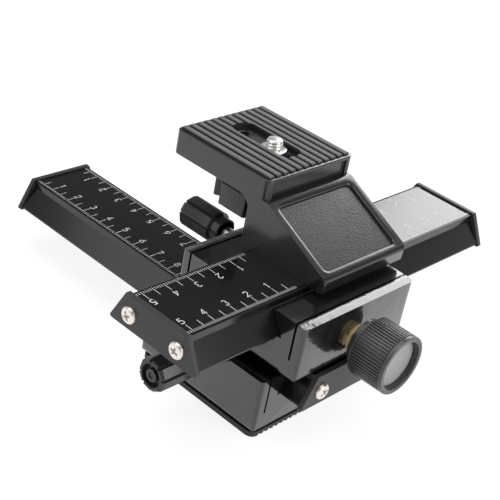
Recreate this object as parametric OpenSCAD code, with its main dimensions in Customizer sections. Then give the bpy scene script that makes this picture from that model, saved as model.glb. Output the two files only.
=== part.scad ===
// Four-way macro focusing rail: two crossed dovetail slides, each driven by a
// rack and pinion and held by a lock screw, with a camera bracket on top.
// Z = 0 is the underside of the base pad, and the tripod socket is on the Z axis.
// The lower rail runs along Y and the upper rail along X.

/* [Rails] */
// Length of a rail between its end plates
rail_l = 156; // [140:1:200]
// Height of a rail
rail_h = 11; // [10:0.5:14]
// Width of a rail across its top
rail_top_w = 27.7; // [24:0.1:32]
// Width of a rail across its foot
rail_base_w = 39.4; // [37:0.1:42]
// Height of the upright band below a rail's top edge
rail_band = 2.7; // [2:0.1:3.5]
// Height of the upright edge at a rail's foot
rail_toe = 0.8; // [0.4:0.1:1.5]
// Thickness of an end plate
plate_t = 2; // [1.5:0.1:3]
// How far an end plate stands above the rail's top
plate_above = 0.8; // [0.4:0.1:1.2]
// How far an end plate stands out around the rail's sides and foot
plate_lip = 0.9; // [0.4:0.1:1]
// Distance of an end plate screw from the rail's middle
plate_screw_x = 11.3; // [10:0.1:12.5]
// Height of an end plate screw above the rail's foot
plate_screw_z = 4.8; // [4.7:0.1:6]

/* [Carriages] */
// Length and width of a carriage
carriage_w = 59; // [56:0.5:66]
// Height of a carriage
carriage_h = 23; // [22:0.5:28]
// How far a rail stands above its carriage's jaws
rail_proud = 2.7; // [2.5:0.1:3.5]
// Radius of a carriage's lower edges
lower_edge_r = 3; // [1:0.5:5]
// Radius of a carriage's upright corners
corner_r = 1.5; // [0.5:0.1:3]
// Distance of a saw cut from the carriage's middle
slit_x = 25.3; // [24.5:0.1:26]
// Width of a saw cut
slit_w = 0.9; // [0.6:0.1:1.2]
// Depth of a saw cut
slit_depth = 14.7; // [10:0.1:16]
// How far the outer jaw's top slopes down
jaw_slope = 0.7; // [0.3:0.1:1.2]
// Distance of the upper carriage's middle from the lower rail's middle
upper_carriage_x = 4.3; // [0:0.1:5]
// Gap between the upper carriage and the lower rail's near end plate
upper_carriage_gap = 0.2; // [0.1:0.1:1]

/* [Slide positions at rest] */
// Distance of the lower rail's middle from the lower carriage's middle
lower_shift = 39.2; // [0:0.1:48]
// Distance of the upper rail's middle from the upper carriage's middle
upper_shift = 10.5; // [-20:0.1:20]

/* [Rack and pinion] */
// Gear module
gear_module = 0.6; // [0.5:0.05:0.7]
// Teeth on a pinion
pinion_teeth = 19; // [17:1:20]
// Width of a rack and of a pinion
gear_w = 5; // [4:0.5:6]
// Distance of a rack from its rail's middle, towards the focusing knob
rack_x = 10; // [9:0.1:12]
// Length of a rack
rack_l = 130; // [126:1:134]
// Height of a rack, from tooth tip to back
rack_h = 3.1; // [2.8:0.1:3.2]
// Plain length at each end of a rack
rack_plain = 10; // [8:0.5:12]
// Radius of a pinion shaft
shaft_r = 2.5; // [2:0.1:3]
// Width across the flats of a shaft bush
bush_hex_w = 9; // [8:0.5:10]
// Length of a shaft bush's hexagon
bush_hex_l = 3.4; // [2:0.1:4]
// Radius of a shaft bush's sleeve
bush_r = 3.8; // [3.4:0.1:4.2]

/* [Focusing knobs] */
// Radius of a focusing knob
knob_r = 11.3; // [9:0.1:11.5]
// Length of a focusing knob's ribbed barrel
knob_l = 15; // [14:0.5:20]
// Ribs around a focusing knob
knob_ribs = 60; // [40:2:72]
// Height of a rib on a focusing knob
knob_rib_h = 0.5; // [0.3:0.05:0.8]
// Radius of the collar behind a focusing knob
knob_collar_r = 6.2; // [5.5:0.1:8]
// Length of the collar behind a focusing knob
knob_collar_l = 2.6; // [1.5:0.1:4]
// Radius of the round recess in a knob's front
knob_recess_r = 9.2; // [7:0.1:9.6]
// Depth of the round recess in a knob's front
knob_recess = 3.6; // [3:0.1:4.5]
// Thickness of the cap in a knob's recess
knob_cap_t = 1.2; // [0.8:0.1:1.6]

/* [Lock knobs] */
// Radius of a lock knob
lock_r = 6.5; // [5.5:0.1:7.5]
// Length of a lock knob
lock_l = 19.4; // [15:0.1:24]
// Flutes around a lock knob
lock_flutes = 8; // [6:1:10]
// Radius of a lock screw
lock_screw_r = 2.5; // [2:0.1:3]
// Length of lock screw that shows between the lower carriage and its knob
lower_lock_gap = 4.5; // [3:0.1:8]
// Length of lock screw that shows between the upper carriage and its knob
upper_lock_gap = 7; // [3:0.1:8]
// Depth of a lock screw's axis below its carriage's top
lock_drop = 5.85; // [4.5:0.05:8]

/* [Base] */
// Thickness of the ribbed pad under the lower carriage
pad_t = 2; // [1.5:0.1:4]
// Distance between the ribs of the base pad
pad_pitch = 2.6; // [2:0.1:4]
// Radius of the tripod socket, for a quarter-inch screw
socket_r = 3.2; // [3.15:0.05:3.3]
// Radius of the tripod socket's bush
socket_bush_r = 5.6; // [5:0.1:6]
// Depth of the tripod socket
socket_l = 7.6; // [6:0.1:8]

/* [Camera bracket] */
// Width of the bracket and its platform
bracket_w = 46; // [44:0.5:52]
// Distance of the platform's front edge from the upper rail's middle
platform_front = 10.9; // [9:0.1:12]
// Depth of the platform, front to back
platform_l = 46.6; // [46:0.1:56]
// Height of the platform's top above the upper rail
platform_z = 29; // [27:0.5:34]
// Height of the platform's side
platform_h = 10.6; // [9:0.1:12]
// Thickness of the platform over its hollow
platform_t = 3.2; // [2.5:0.1:5]
// Thickness of the bracket's walls
wall = 3; // [2:0.1:4]
// Distance of the sloping panel's lower edge from the upper rail's middle
panel_front = 21; // [19:0.1:23]
// Height of the sloping panel's lower edge
panel_low = 5.2; // [4.5:0.1:6]
// Height of the sloping panel's upper edge
panel_high = 20.6; // [19:0.1:21]
// Distance of the column's back from the upper rail's middle
column_back = 18.2; // [17:0.1:18.5]
// Radius of the fillet under the platform
column_fillet = 5; // [3:0.5:8]
// Thickness of the bracket's foot
foot_t = 3.5; // [3:0.1:4]
// Width of the raised frame around the sloping panel
frame_w = 3.6; // [3:0.1:5]
// Depth of the panel's recess
panel_recess = 1.2; // [0.8:0.1:1.5]

/* [Platform pad] */
// Thickness of the ribbed pad on the platform
top_pad_t = 2.4; // [2:0.1:3]
// Number of ribs on the pad
top_ribs = 12; // [9:1:14]
// Depth of the grooves between the ribs
top_groove = 1.2; // [0.6:0.1:1.4]
// Width of the platform's rim around the pad
rim_w = 1; // [0.8:0.1:2]
// Width of the opening in the pad
pad_slot_w = 10.6; // [10.4:0.1:12]

/* [Camera screw] */
// Radius of the camera screw, a quarter-inch thread
screw_r = 3.125; // [3.1:0.005:3.15]
// Radius of the camera screw's flange
flange_r = 5; // [4.5:0.1:5.1]
// Distance of the camera screw from the upper rail's middle
screw_y = 30; // [26:0.1:40]
// How far the camera screw stands above the pad
screw_out = 1.9; // [1.5:0.1:5]
// Distance of the slot's front centre from the upper rail's middle
slot_front = 25; // [24.8:0.1:26]
// Distance of the slot's back centre from the upper rail's middle
slot_back = 43.4; // [41:0.1:44]
// Radius of the lobed knob
wing_r = 18.5; // [15:0.1:18.6]
// Height of the lobed knob's underside above the upper rail
wing_low = 6; // [6:0.1:8]
// Height of the lobes
wing_h = 9; // [7:0.1:9.4]
// Lobes on the knob
wing_lobes = 6; // [5:1:8]

/* [Hidden] */
$fn = 64;

// Clearances: parts that slide, that turn, and that are fixed together
slide_gap = 0.1;
run_gap = 0.05;
seat_gap = 0.02;
// Overcut that keeps cutting faces off the faces they cut through
cut = 1;

// Levels of the two carriages and rails
lower_z = pad_t;
lower_rail_z = lower_z + carriage_h + rail_proud - rail_h;
upper_z = lower_rail_z + rail_h;
upper_rail_z = upper_z + carriage_h + rail_proud - rail_h;
upper_y = lower_shift - rail_l / 2 + upper_carriage_gap + carriage_w / 2;
upper_rail_x = upper_carriage_x + upper_shift;
// Height of the channel's floor in a carriage
channel_z = carriage_h + rail_proud - rail_h - slide_gap;

// Rack and pinion: tooth tips lie slide_gap above the rail's foot
rack_pitch = PI * gear_module;
pitch_r = gear_module * pinion_teeth / 2;
pitch_z = slide_gap + gear_module;
pinion_z = channel_z + slide_gap + pitch_z - pitch_r;
tooth_root = 1.25 * gear_module;
tip_r = pitch_r + 0.92 * gear_module;
chamber_r = tip_r + 0.7;
chamber_w = gear_w + 0.6;
backlash = 0.14;
base_r = pitch_r * cos(20);
shaft_end_x = rack_x - chamber_w / 2 - 5;
rack_screw_x = rack_l / 2 - rack_plain / 2;
teeth_l = rack_l - 2 * rack_plain;

// Knob that turns a pinion: hexagon, collar, then barrel
knob_back_x = carriage_w / 2 + bush_hex_l + run_gap + knob_collar_l;
knob_hub = 8.5;
knob_screw_r = 1.5;
knob_screw_l = 6;
knob_head_r = 2.8;
knob_head_h = 1.1;
knob_web = knob_l - knob_recess - knob_hub - knob_head_h - seat_gap;

// Small screws
m3_r = 1.5;
m3_head_r = 3.15;
m3_head_h = 1.7;
m3_l = 8;
m4_r = 2;
m4_head_r = 3.8;
m4_head_h = 2.1;
m3_in_rail = 6.2;
rack_screw_r = 1.1;
rack_head_r = 2.1;
rack_head_h = 1.1;
rack_screw_in = 4;
sink_gap = 3 * seat_gap;

// Screws that hold the upper carriage on the lower rail: x from the rail's middle line, y from
// the carriage's middle, which keeps them mount_screw_gap clear of the near end plate's screws
mount_screw_x = 10.8;
mount_screw_gap = 5.3;
mount_screw_y = upper_carriage_gap + carriage_w / 2 - m3_l - mount_screw_gap;
m3_flat_r = 2.9;
m3_flat_h = 1.6;

// Bracket: foot screws, cavity and slot, measured from the upper rail's middle
foot_screw_x = 13;
foot_screw_y = [-2.5, 8.5];
foot_boss_r = 4;
foot_boss_h = foot_t + 1.9;
platform_back = platform_front + platform_l;
casting_z = platform_z - top_pad_t;
rim_z = platform_z - 0.9;
hollow_z = casting_z - platform_t;
platform_low = platform_z - platform_h;
panel_run = panel_front + platform_front - 0.4;
panel_rise = panel_high - panel_low;
panel_len = sqrt(panel_run * panel_run + panel_rise * panel_rise);
panel_tilt = atan2(panel_rise, panel_run);
slot_w = 2 * screw_r + 0.5;
neck_r = screw_r - 0.2;
thread_z = platform_z + 0.1;
thread_tip = 0.6;
pad_w = bracket_w - 2 * rim_w;
pad_l = platform_l - 2 * rim_w;
rib_pitch = pad_w / top_ribs;
rib_w = 0.66 * rib_pitch;
pad_slot_r = 4;
pad_slot_l = slot_back - slot_front + 2 * flange_r + 1;
inlay_t = 0.5;
flange_h = 0.9;
washer_t = 1;
washer_r = 8;
hub_r = 7.5;
hub_top = hollow_z - washer_t - 2 * seat_gap;

lock_z = carriage_h - lock_drop;
lock_tip_x = slit_x - slit_w / 2 + slide_gap;
lock_skirt = 3.4;

// ---- Places ------------------------------------------------------------------

// A carriage or rail is drawn with its rail along Y and its focusing knob at +X
module at_lower_carriage() translate([0, 0, lower_z]) children();
module at_upper_carriage()
    translate([upper_carriage_x, upper_y, upper_z]) rotate([0, 0, -90]) children();
module at_lower_rail() translate([0, lower_shift, lower_rail_z]) children();
module at_upper_rail()
    translate([upper_rail_x, upper_y, upper_rail_z]) rotate([0, 0, -90]) children();
// The bracket is drawn in its own frame: X along the upper rail, Z up from the rail's top
module at_bracket() translate([upper_rail_x, upper_y, upper_rail_z + rail_h]) children();
// Turns a shape drawn along Z so that it points along X
module along_x() rotate([0, 90, 0]) children();

// ---- Plain shapes ------------------------------------------------------------

module rounded_rect(w, l, r) {
    square([w - 2 * r, l], center = true);
    square([w, l - 2 * r], center = true);
    for (x = [-1, 1], y = [-1, 1])
        translate([x * (w / 2 - r), y * (l / 2 - r)]) circle(r);
}

// Upright rectangle whose two lower corners are rounded
module low_rounded(w, h, r) {
    translate([-w / 2, r]) square([w, h - r]);
    translate([-w / 2 + r, 0]) square([w - 2 * r, r + 0.01]);
    for (x = [-1, 1]) translate([x * (w / 2 - r), r]) circle(r);
}

// Shank with a flat countersunk head, head top at z = 0, pointing down
module flat_screw(r, head_r, head_h, l) {
    translate([0, 0, -l]) cylinder(h = l - head_h + 0.01, r = r);
    translate([0, 0, -head_h]) cylinder(h = head_h, r1 = r, r2 = head_r);
}

// Shank with a domed cross-slotted head, underside of the head at z = 0
module round_screw(r, head_r, head_h, l) {
    sphere_r = (head_r * head_r + head_h * head_h) / (2 * head_h);
    difference() {
        union() {
            translate([0, 0, -l]) cylinder(h = l + 0.01, r = r);
            intersection() {
                translate([0, 0, head_h - sphere_r]) sphere(sphere_r);
                cylinder(h = head_h, r = head_r);
            }
        }
        for (a = [0, 90]) rotate([0, 0, a])
            translate([-head_r * 0.45, -0.3, head_h * 0.35]) cube([head_r * 0.9, 0.6, head_h]);
    }
}

// ---- Rails -------------------------------------------------------------------

// Half width of a rail's sloping side, grown sideways and upwards by a gap
function side_x(gap) = rail_base_w / 2 + gap;
function top_x(gap) = rail_top_w / 2 + gap;

module rail_section() {
    polygon([[-side_x(0), 0], [side_x(0), 0], [side_x(0), rail_toe],
        [top_x(0), rail_h - rail_band], [top_x(0), rail_h], [-top_x(0), rail_h],
        [-top_x(0), rail_h - rail_band], [-side_x(0), rail_toe]]);
}

// Rail along Y with its foot at z = 0: edge lines, rack groove and tapped holes
module rail() {
    edge_line = 0.35;
    difference() {
        rotate([90, 0, 0]) linear_extrude(rail_l, center = true) rail_section();
        for (x = [-1, 1])
            translate([x * (top_x(0) - 0.75) - edge_line / 2, -rail_l, rail_h - edge_line])
                cube([edge_line, 2 * rail_l, cut]);
        translate([rack_x - gear_w / 2 - seat_gap, -rack_l / 2 - seat_gap, -cut])
            cube([gear_w + 2 * seat_gap, rack_l + 2 * seat_gap,
                cut + slide_gap + rack_h + seat_gap]);
        for (y = [-1, 1]) translate([rack_x, y * rack_screw_x, 0])
            cylinder(h = slide_gap + rack_h + rack_screw_in, r = rack_screw_r + seat_gap);
        for (x = [-1, 1], y = [-1, 1])
            translate([x * plate_screw_x, y * (rail_l / 2 - m3_l / 2), plate_screw_z])
                rotate([90, 0, 0]) cylinder(h = m3_l + 0.1, r = m3_r + seat_gap, center = true);
    }
}

// Rack along Y: teeth point down, their tips slide_gap above the rail's foot
module rack() {
    n = floor(teeth_l / rack_pitch / 2);
    half_tip = rack_pitch / 4 - gear_module * tan(20) - backlash / 4;
    half_root = half_tip + (gear_module + tooth_root) * tan(20);
    difference() {
        translate([rack_x - gear_w / 2, 0, slide_gap]) rotate([90, 0, 90])
            linear_extrude(gear_w)
                polygon(concat([[-rack_l / 2, rack_h], [-rack_l / 2, 0],
                    [-(n + 0.5) * rack_pitch - half_tip, 0]],
                    [for (i = [-n : n + 1]) each let (c = (i - 0.5) * rack_pitch) [
                        [c - rack_pitch / 2 - (i == -n ? half_tip : -half_tip), 0],
                        [c - rack_pitch / 2 + half_root, gear_module + tooth_root],
                        [c + rack_pitch / 2 - half_root, gear_module + tooth_root],
                        [c + rack_pitch / 2 - half_tip, 0]]],
                    [[rack_l / 2, 0], [rack_l / 2, rack_h]]));
        for (y = [-1, 1]) translate([rack_x, y * rack_screw_x, slide_gap]) {
            translate([0, 0, -cut]) cylinder(h = rack_h + 2 * cut, r = rack_screw_r + seat_gap);
            mirror([0, 0, 1]) translate([0, 0, -rack_head_h])
                cylinder(h = rack_head_h + 0.01, r1 = rack_screw_r + sink_gap,
                    r2 = rack_head_r + sink_gap);
        }
    }
}

module rack_screws() {
    for (y = [-1, 1]) translate([rack_x, y * rack_screw_x, slide_gap + seat_gap]) mirror([0, 0, 1])
        flat_screw(rack_screw_r, rack_head_r, rack_head_h, rack_h + rack_screw_in - 0.3);
}

// Plate at the rail end that side points to, -1 or +1 along Y
module end_plate(side) {
    y = side * (rail_l + plate_t) / 2;
    low = -plate_lip;
    high = rail_h + plate_above;
    wide = side_x(plate_lip);
    narrow = top_x(plate_lip - 0.1);
    nip = 0.8;
    difference() {
        translate([0, y, 0]) rotate([90, 0, 0]) linear_extrude(plate_t, center = true)
            polygon([[-wide + nip, low], [wide - nip, low], [wide, low + nip],
                [narrow, high - 0.3], [narrow - 0.3, high], [0.3 - narrow, high],
                [-narrow, high - 0.3], [-wide, low + nip]]);
        for (x = [-1, 1]) translate([x * plate_screw_x, y, plate_screw_z])
            rotate([90, 0, 0]) cylinder(h = plate_t + cut, r = m3_r + 0.15, center = true);
    }
}

module plate_screws() {
    for (x = [-1, 1], y = [-1, 1])
        translate([x * plate_screw_x, y * (rail_l / 2 + plate_t), plate_screw_z])
            rotate([-90 * y, 0, 0]) rotate([0, 0, 20 * x])
                round_screw(m3_r, m3_head_r, m3_head_h, m3_l + plate_t - 0.2);
}

// ---- Carriages ---------------------------------------------------------------

// Dovetail channel, cut slide_gap wider than the rail, with eased upper edges
module channel() {
    ease = 1.2;
    top = carriage_h;
    floor_x = side_x(slide_gap);
    neck_x = top_x(2 * slide_gap);
    toe_z = channel_z + slide_gap + rail_toe + slide_gap;
    slope = (floor_x - neck_x) / (top - toe_z);
    rotate([90, 0, 0]) linear_extrude(2 * carriage_w, center = true)
        polygon([[-floor_x, channel_z], [floor_x, channel_z], [floor_x, toe_z],
            [neck_x + slope * ease, top - ease], [neck_x + ease, top], [neck_x + ease, top + cut],
            [-neck_x - ease, top + cut], [-neck_x - ease, top],
            [-neck_x - slope * ease, top - ease], [-floor_x, toe_z]]);
}

// Block with its channel, saw cuts, pinion chamber, bush seat and lock screw hole
module carriage() {
    difference() {
        intersection() {
            rotate([90, 0, 0]) linear_extrude(carriage_w, center = true)
                low_rounded(carriage_w, carriage_h, lower_edge_r);
            rotate([90, 0, 90]) linear_extrude(carriage_w, center = true)
                low_rounded(carriage_w, carriage_h, lower_edge_r);
            linear_extrude(carriage_h) rounded_rect(carriage_w, carriage_w, corner_r);
        }
        channel();
        for (x = [-1, 1]) {
            translate([x * slit_x - slit_w / 2, -carriage_w, carriage_h - slit_depth])
                cube([slit_w, 2 * carriage_w, slit_depth + cut]);
            rotate([90, 0, 0]) linear_extrude(2 * carriage_w, center = true)
                polygon([[x * slit_x, carriage_h], [x * carriage_w / 2, carriage_h - jaw_slope],
                    [x * (carriage_w / 2 + cut), carriage_h - jaw_slope],
                    [x * (carriage_w / 2 + cut), carriage_h + cut],
                    [x * slit_x, carriage_h + cut]]);
        }
        translate([rack_x - chamber_w / 2, 0, pinion_z]) along_x()
            cylinder(h = chamber_w, r = chamber_r);
        translate([rack_x - chamber_w / 2, -chamber_r, pinion_z])
            cube([chamber_w, 2 * chamber_r, channel_z - pinion_z + 0.01]);
        translate([shaft_end_x - 0.3, 0, pinion_z]) along_x()
            cylinder(h = chamber_w, r = shaft_r + run_gap);
        translate([rack_x, 0, pinion_z]) along_x()
            cylinder(h = carriage_w, r = bush_r + seat_gap);
        translate([-carriage_w / 2 - cut, 0, lock_z]) along_x()
            cylinder(h = carriage_w / 2 + cut - slit_x, r = lock_screw_r + run_gap);
    }
}

module lower_carriage() color([0.07, 0.07, 0.075]) at_lower_carriage() difference() {
    carriage();
    translate([0, 0, -cut]) cylinder(h = socket_l - pad_t + cut, r = socket_bush_r + seat_gap);
}

// The upper carriage is screwed down onto the lower rail through its channel floor
module upper_carriage() color([0.07, 0.07, 0.075]) difference() {
    at_upper_carriage() carriage();
    mount_screw_places() {
        translate([0, 0, -carriage_h]) cylinder(h = 2 * carriage_h, r = m3_r + 0.2);
        translate([0, 0, -m3_flat_h])
            cylinder(h = m3_flat_h + 0.01, r1 = m3_r + sink_gap, r2 = m3_flat_r + sink_gap);
    }
}

// Places on the channel floor of the upper carriage, over the lower rail
module mount_screw_places() {
    for (x = [-1, 1], y = [-1, 1])
        translate([x * mount_screw_x, upper_y + y * mount_screw_y, upper_z + channel_z])
            children();
}

module upper_carriage_screws() color([0.75, 0.73, 0.7]) mount_screw_places()
    translate([0, 0, -seat_gap]) flat_screw(m3_r, m3_flat_r, m3_flat_h, channel_z + m3_in_rail - 0.2);

module shaft_bush() {
    difference() {
        union() {
            translate([rack_x + chamber_w / 2, 0, 0]) along_x()
                cylinder(h = carriage_w / 2 - rack_x - chamber_w / 2 + 0.01, r = bush_r);
            translate([carriage_w / 2, 0, 0]) along_x() rotate([0, 0, 30])
                cylinder(h = bush_hex_l, r = bush_hex_w / sqrt(3), $fn = 6);
        }
        along_x() cylinder(h = carriage_w, r = shaft_r + run_gap);
    }
}

// ---- Pinions and focusing knobs ----------------------------------------------

function involute(r) = r <= base_r ? 0 : tan(acos(base_r / r)) * 180 / PI - acos(base_r / r);
// Half the angle of a tooth at radius r
function tooth_half(r) = 90 / pinion_teeth - backlash / 4 / pitch_r * 180 / PI
    + involute(pitch_r) - involute(r);

// Turn that puts a tooth in the rack's gap, where shift is the rail's middle from the carriage's
function mesh_turn(shift) = let (s = -shift / rack_pitch, gap = floor(s) + 0.5)
    (s - gap) * rack_pitch / pitch_r * 180 / PI;

// Gear about the Z axis, with one tooth at angle turn from the -X direction
module gear_section(turn) {
    radii = [pitch_r - tooth_root, base_r, pitch_r, (pitch_r + tip_r) / 2, tip_r];
    polygon([for (i = [0 : pinion_teeth - 1])
        let (a = 180 + turn + i * 360 / pinion_teeth)
            each concat(
                [for (r = radii) r * [cos(a - tooth_half(r)), sin(a - tooth_half(r))]],
                [for (k = [4 : -1 : 0]) let (r = radii[k])
                    r * [cos(a + tooth_half(r)), sin(a + tooth_half(r))]])]);
}

module pinion(shift) {
    translate([rack_x - gear_w / 2, 0, 0]) along_x() linear_extrude(gear_w) difference() {
        gear_section(mesh_turn(shift));
        circle(shaft_r + seat_gap);
    }
}

module pinion_shaft() {
    difference() {
        translate([shaft_end_x, 0, 0]) along_x()
            cylinder(h = knob_back_x + knob_hub - shaft_end_x - seat_gap, r = shaft_r);
        translate([knob_back_x + knob_hub - knob_screw_l - 0.5, 0, 0]) along_x()
            cylinder(h = knob_screw_l + cut, r = knob_screw_r + seat_gap);
    }
}

module knob_screw() {
    translate([knob_back_x + knob_hub + knob_web + seat_gap, 0, 0]) along_x()
        round_screw(knob_screw_r, knob_head_r, knob_head_h - 2 * seat_gap,
            knob_screw_l + knob_web - 0.4);
}

// Ribbed outline: each rib is a short flat between two slopes
module ribbed_circle(r, n, h) {
    polygon([for (i = [0 : n - 1]) for (p = [[0, 0], [0.4, 0], [0.6, h], [0.8, h]])
        (r - p[1]) * [cos((i + p[0]) * 360 / n), sin((i + p[0]) * 360 / n)]]);
}

module focus_knob() {
    rim = 1.6;
    translate([knob_back_x, 0, 0]) along_x() difference() {
        union() {
            translate([0, 0, -knob_collar_l]) cylinder(h = knob_collar_l + 0.01, r = knob_collar_r);
            cylinder(h = 0.8, r1 = knob_r - 0.9, r2 = knob_r - 0.1);
            translate([0, 0, 0.8]) linear_extrude(knob_l - rim - 0.8)
                ribbed_circle(knob_r, knob_ribs, knob_rib_h);
            translate([0, 0, knob_l - rim]) cylinder(h = rim - 0.7, r = knob_r - 0.1);
            translate([0, 0, knob_l - 0.7]) cylinder(h = 0.7, r1 = knob_r - 0.1, r2 = knob_r - 0.8);
        }
        translate([0, 0, knob_l - knob_recess]) cylinder(h = knob_recess + cut, r = knob_recess_r);
        translate([0, 0, knob_hub + knob_web])
            cylinder(h = knob_l, r = knob_head_r + 0.3);
        translate([0, 0, -knob_collar_l - cut])
            cylinder(h = knob_hub + knob_collar_l + cut, r = shaft_r + seat_gap);
        cylinder(h = knob_l, r = knob_screw_r + 0.1);
    }
}

module knob_cap() {
    translate([knob_back_x + knob_l - knob_recess + seat_gap, 0, 0]) along_x()
        cylinder(h = knob_cap_t, r = knob_recess_r - seat_gap);
}

// ---- Lock knobs --------------------------------------------------------------

// Fluted knob on the -X side; its hollow skirt faces the carriage
module lock_knob(gap) {
    flute_r = 0.75;
    translate([-carriage_w / 2 - gap, 0, lock_z]) rotate([0, -90, 0]) difference() {
        union() {
            cylinder(h = lock_skirt + 0.01, r = lock_r - 1.1);
            translate([0, 0, lock_skirt]) linear_extrude(lock_l - lock_skirt - 1) difference() {
                circle(lock_r);
                for (i = [0 : lock_flutes - 1]) rotate([0, 0, (i + 0.5) * 360 / lock_flutes])
                    translate([lock_r - 0.05, 0]) circle(flute_r, $fn = 24);
            }
            translate([0, 0, lock_l - 1]) cylinder(h = 1, r1 = lock_r - 0.6, r2 = lock_r - 1.4);
        }
        translate([0, 0, -cut]) cylinder(h = cut + lock_skirt, r = lock_r - 2.2);
        cylinder(h = lock_l - 6, r = lock_screw_r + seat_gap);
        translate([0, 0, lock_l - 2.2]) difference() {
            cylinder(h = 2.2 + cut, r = lock_r - 2.1);
            translate([0, 0, -cut]) cylinder(h = 2 + cut, r = lock_r - 4);
        }
    }
}

module lock_screw(gap) {
    translate([-lock_tip_x, 0, lock_z]) rotate([0, -90, 0])
        cylinder(h = carriage_w / 2 + gap + lock_l - 6 - seat_gap - lock_tip_x, r = lock_screw_r);
}

// ---- Base --------------------------------------------------------------------

module base_pad() color([0.2, 0.2, 0.2]) {
    inset = 0.6;
    w = carriage_w - 2 * inset;
    groove = 0.45 * pad_pitch;
    n = floor((w / 2 - 2) / pad_pitch);
    difference() {
        linear_extrude(pad_t) rounded_rect(w, w, lower_edge_r);
        translate([0, 0, -cut]) cylinder(h = pad_t + 2 * cut, r = socket_bush_r + seat_gap);
        for (i = [-n : n - 1]) translate([(i + 0.5) * pad_pitch - groove / 2, -w, -cut])
            cube([groove, 2 * w, cut + 0.6]);
    }
}

module tripod_bush() color([0.72, 0.7, 0.66]) difference() {
    cylinder(h = socket_l - seat_gap, r = socket_bush_r);
    translate([0, 0, -cut]) cylinder(h = socket_l + 2 * cut, r = socket_r);
}

// ---- Camera bracket ----------------------------------------------------------

// Side view of the bracket: x is the distance behind the rail's middle, y the height
module bracket_side() {
    f = column_fillet;
    polygon([[0.4 - panel_front, 0], [-panel_front, panel_low - 0.8],
        [0.6 - panel_front, panel_low], [platform_front - 0.4, panel_high],
        [platform_front - 0.4, panel_high + 0.8], [platform_front, rim_z - 0.5],
        [platform_front + 0.5, rim_z], [platform_back - 0.5, rim_z],
        [platform_back, rim_z - 0.5], [platform_back, platform_low],
        [column_back, platform_low], [column_back, 0]]);
    difference() {
        translate([column_back, platform_low - f]) square(f);
        translate([column_back + f, platform_low - f]) circle(f);
    }
}

// Space behind the sloping panel and under the platform
module bracket_hollow() {
    back = panel_front - wall * 1.1;
    polygon([[foot_t / tan(panel_tilt) * 0.2 - back, foot_t],
        [platform_front + wall, foot_t + (platform_front + wall + back) * tan(panel_tilt)],
        [platform_front + wall, hollow_z], [platform_back - wall, hollow_z],
        [platform_back - wall, 0], [column_back + cut, 0], [column_back + cut, foot_t]]);
}

// Puts a child in the frame of the sloping panel: X across, Y up the slope, Z outwards
module on_panel() {
    translate([0, -panel_front, panel_low]) rotate([panel_tilt, 0, 0])
        translate([0, panel_len / 2, 0]) children();
}

module camera_bracket() color([0.09, 0.09, 0.095]) at_bracket() {
    difference() {
        rotate([90, 0, 90]) linear_extrude(bracket_w, center = true) bracket_side();
        rotate([90, 0, 90]) linear_extrude(bracket_w - 2 * wall, center = true) bracket_hollow();
        translate([0, platform_front + platform_l / 2, casting_z])
            linear_extrude(platform_z) rounded_rect(pad_w, pad_l, 1);
        translate([0, (slot_front + slot_back) / 2, hollow_z - cut])
            linear_extrude(platform_z) stadium(slot_w, slot_back - slot_front + slot_w);
        on_panel() translate([0, 0, -panel_recess]) linear_extrude(panel_recess + cut)
            rounded_rect(bracket_w - 2 * frame_w, panel_len - 2 * frame_w, 1.6);
        foot_screw_places() translate([0, 0, -cut])
            cylinder(h = foot_boss_h + cut - 1.2, r = m4_r + seat_gap);
    }
    foot_screw_places() difference() {
        translate([0, 0, foot_t - 0.01]) cylinder(h = foot_boss_h - foot_t, r = foot_boss_r);
        translate([0, 0, -cut]) cylinder(h = foot_boss_h + cut - 1.2, r = m4_r + seat_gap);
    }
}

module stadium(w, l) {
    square([w, l - w], center = true);
    for (y = [-1, 1]) translate([0, y * (l - w) / 2]) circle(w / 2);
}

module foot_screw_places() {
    for (x = [-1, 1], y = foot_screw_y) translate([x * foot_screw_x, y, 0]) children();
}

module bracket_screws() color([0.75, 0.73, 0.7]) at_bracket() foot_screw_places()
    translate([0, 0, seat_gap - rail_h]) mirror([0, 0, 1])
        flat_screw(m4_r, m4_head_r, m4_head_h, rail_h + foot_boss_h - 1.5);

module panel_inlay() color([0.3, 0.3, 0.31]) at_bracket() on_panel()
    translate([0, 0, seat_gap - panel_recess]) linear_extrude(inlay_t)
        rounded_rect(bracket_w - 2 * frame_w - 0.2, panel_len - 2 * frame_w - 0.2, 1.5);

module top_pad() color([0.42, 0.42, 0.42]) at_bracket() {
    middle = platform_front + platform_l / 2;
    difference() {
        translate([0, middle, casting_z]) linear_extrude(top_pad_t)
            rounded_rect(pad_w - 2 * seat_gap, pad_l - 2 * seat_gap, 1);
        translate([0, (slot_front + slot_back) / 2, casting_z - cut]) linear_extrude(platform_z)
            rounded_rect(pad_slot_w, pad_slot_l, pad_slot_r);
        for (i = [0 : top_ribs])
            translate([(i - top_ribs / 2) * rib_pitch - (rib_pitch - rib_w) / 2, 0,
                platform_z - top_groove]) cube([rib_pitch - rib_w, 2 * platform_back, platform_z]);
    }
}

// ---- Camera screw ------------------------------------------------------------

module slot_washer() color([0.7, 0.7, 0.7]) at_bracket()
    translate([0, screw_y, hollow_z - washer_t - seat_gap]) difference() {
        cylinder(h = washer_t, r = washer_r);
        translate([0, 0, -cut]) cylinder(h = washer_t + 2 * cut, r = screw_r + run_gap);
    }

module camera_screw() color([0.8, 0.79, 0.76]) at_bracket()
    translate([0, screw_y, 0]) {
        translate([0, 0, wing_low + 2]) cylinder(h = thread_z - wing_low - 2, r = neck_r);
        translate([0, 0, thread_z])
            cylinder(h = platform_z + screw_out - thread_tip - thread_z, r = screw_r);
        translate([0, 0, platform_z + screw_out - thread_tip - 0.01])
            cylinder(h = thread_tip + 0.01, r1 = screw_r, r2 = screw_r - thread_tip);
    }

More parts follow.
